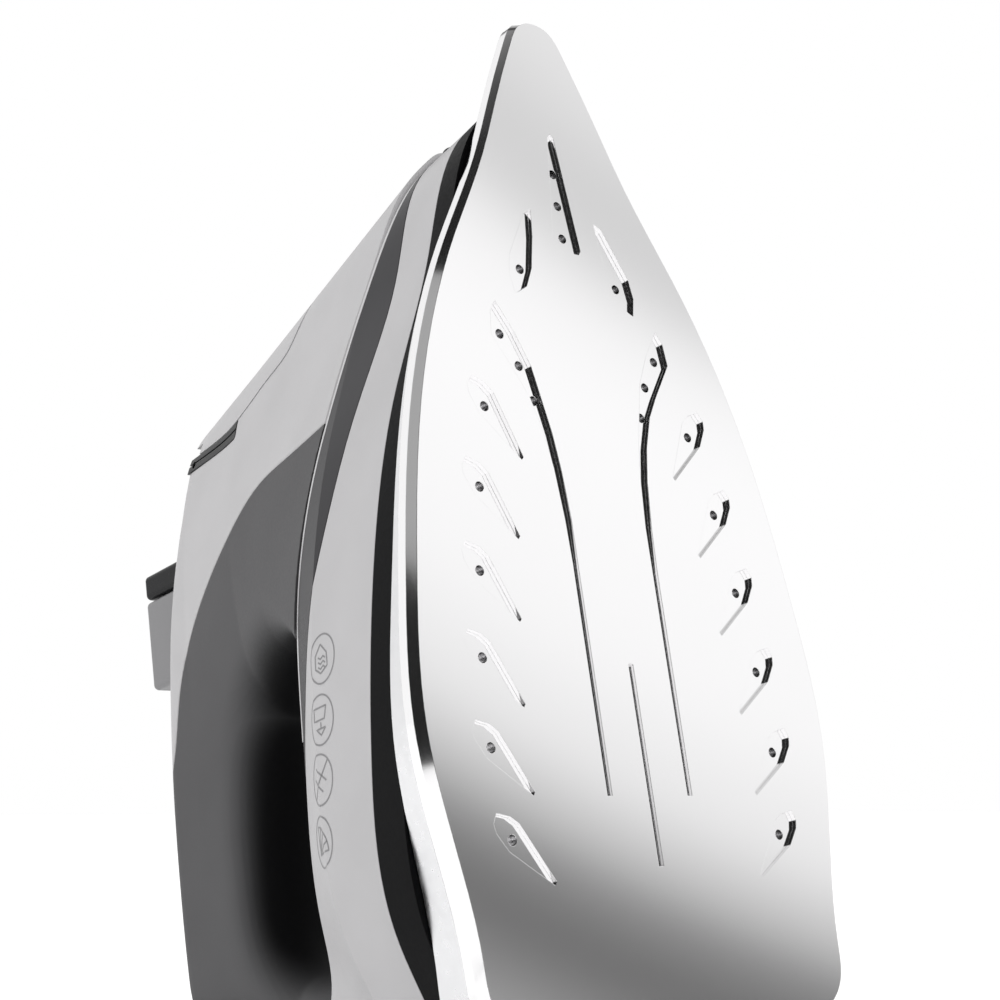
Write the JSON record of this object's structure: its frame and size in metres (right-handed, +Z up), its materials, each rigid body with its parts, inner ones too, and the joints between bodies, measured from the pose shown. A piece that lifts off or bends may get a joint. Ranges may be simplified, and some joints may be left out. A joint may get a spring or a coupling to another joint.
{
  "type": "steam iron",
  "caption": "Steam iron standing on its heel: grooved steel soleplate, grey casing, smoky tank, dark grip handle, filling door, keys, dial and swivel cord outlet.",
  "frame": {"origin": "centre of the lower heel pad's face, on the surface that the iron stands on", "axes": "+Z up, with the soleplate's tip at the top; -Y towards the soleplate, +Y towards the handle; the iron leans back 11.5 degrees on its heel; X across"},
  "size_m": [0.1278, 0.1986, 0.2574],
  "materials": {
    "sole_steel": "polished steel",
    "cast_alloy": "fine cast, satin",
    "element_steel": "heat tinted",
    "seal_rubber": "matt",
    "plate_steel": "rolled",
    "screw_steel": "plated",
    "ceramic_white": "glazed",
    "skirt_black": "satin",
    "shell_grey": "fine satin gloss",
    "tank_smoke": "translucent smoke",
    "trim_light": "gloss",
    "grip_dark": "soft touch",
    "lens_amber": "clear amber",
    "heel_black": "satin",
    "recess_black": "satin",
    "button_grey": "satin",
    "inner_white": "moulded",
    "brass_fitting": "turned",
    "board_green": "lacquered"
  },
  "bodies": {
    "root": {"soleplate": "sole_steel", "heater_casting": "cast_alloy", "heating_element": "element_steel", "chamber_gasket": "seal_rubber", "chamber_cover": "plate_steel", "chamber_screws": "screw_steel", "thermostat": "plate_steel", "thermal_fuse": "ceramic_white", "heat_shield": "skirt_black", "shield_plate": "plate_steel", "shield_spacers": "ceramic_white", "shield_screws": "screw_steel", "lower_shell": "shell_grey", "water_tank": "tank_smoke", "tank_trim": "trim_light", "deck_cover": "grip_dark", "indicator_lens": "lens_amber", "upper_housing": "shell_grey", "grip_cover": "grip_dark", "heel_cover": "heel_black", "hinge_recess": "recess_black", "door_pin": "screw_steel", "steam_pump": "inner_white", "steam_spring": "screw_steel", "spray_pump": "inner_white", "spray_spring": "screw_steel", "drip_valve": "brass_fitting", "fill_funnel": "inner_white", "spray_nozzle": "recess_black", "heel_pads": "seal_rubber", "heel_screws": "screw_steel", "auto_off_board": "board_green", "terminal_block": "inner_white", "handle_spar": "skirt_black", "spar_screws": "screw_steel", "gland_caps": "heel_black"},
    "door": {"fill_door": "shell_grey"},
    "steam_key": {"steam_button": "button_grey", "steam_piston": "inner_white"},
    "spray_key": {"spray_button": "recess_black", "spray_piston": "inner_white"},
    "dial": {"temperature_dial": "button_grey", "thermostat_shaft": "screw_steel"},
    "selector": {"steam_selector": "button_grey"},
    "valve": {"valve_rod": "screw_steel"},
    "gland": {"cord_gland": "recess_black"}
  },
  "joints": [
    {"name": "door_hinge", "type": "hinge", "parent": "root", "child": "door", "pos_m": [0, 0.15, 0.16247], "axis": [-1, 0, 0], "range_deg": [0, 70]},
    {"name": "steam_press", "type": "slide", "parent": "root", "child": "steam_key", "axis": [0, -0.9799, 0.1994], "range_m": [0, 0.003], "stiffness_N_per_m": 400, "springref_m": -0.001},
    {"name": "spray_press", "type": "slide", "parent": "root", "child": "spray_key", "axis": [0, -0.9799, 0.1994], "range_m": [0, 0.003], "stiffness_N_per_m": 400, "springref_m": -0.001},
    {"name": "dial_turn", "type": "hinge", "parent": "root", "child": "dial", "pos_m": [0, 0.05529, 0.07111], "axis": [0, 0.9799, -0.1994], "range_deg": [0, 270]},
    {"name": "selector_slide", "type": "slide", "parent": "root", "child": "selector", "axis": [0, -0.1994, -0.9799], "range_m": [0, 0.004]},
    {"name": "valve_lift", "type": "slide", "parent": "root", "child": "valve", "axis": [0, 0.9799, -0.1994], "range_m": [0, 0.002]},
    {"name": "gland_swivel", "type": "hinge", "parent": "root", "child": "gland", "pos_m": [0, 0.13042, 0.01909], "axis": [1, 0, 0], "range_deg": [-20, 20]}
  ],
  "couplings": [
    {"joint": "valve_lift", "follows": "selector_slide", "ratio": 0.5}
  ]
}
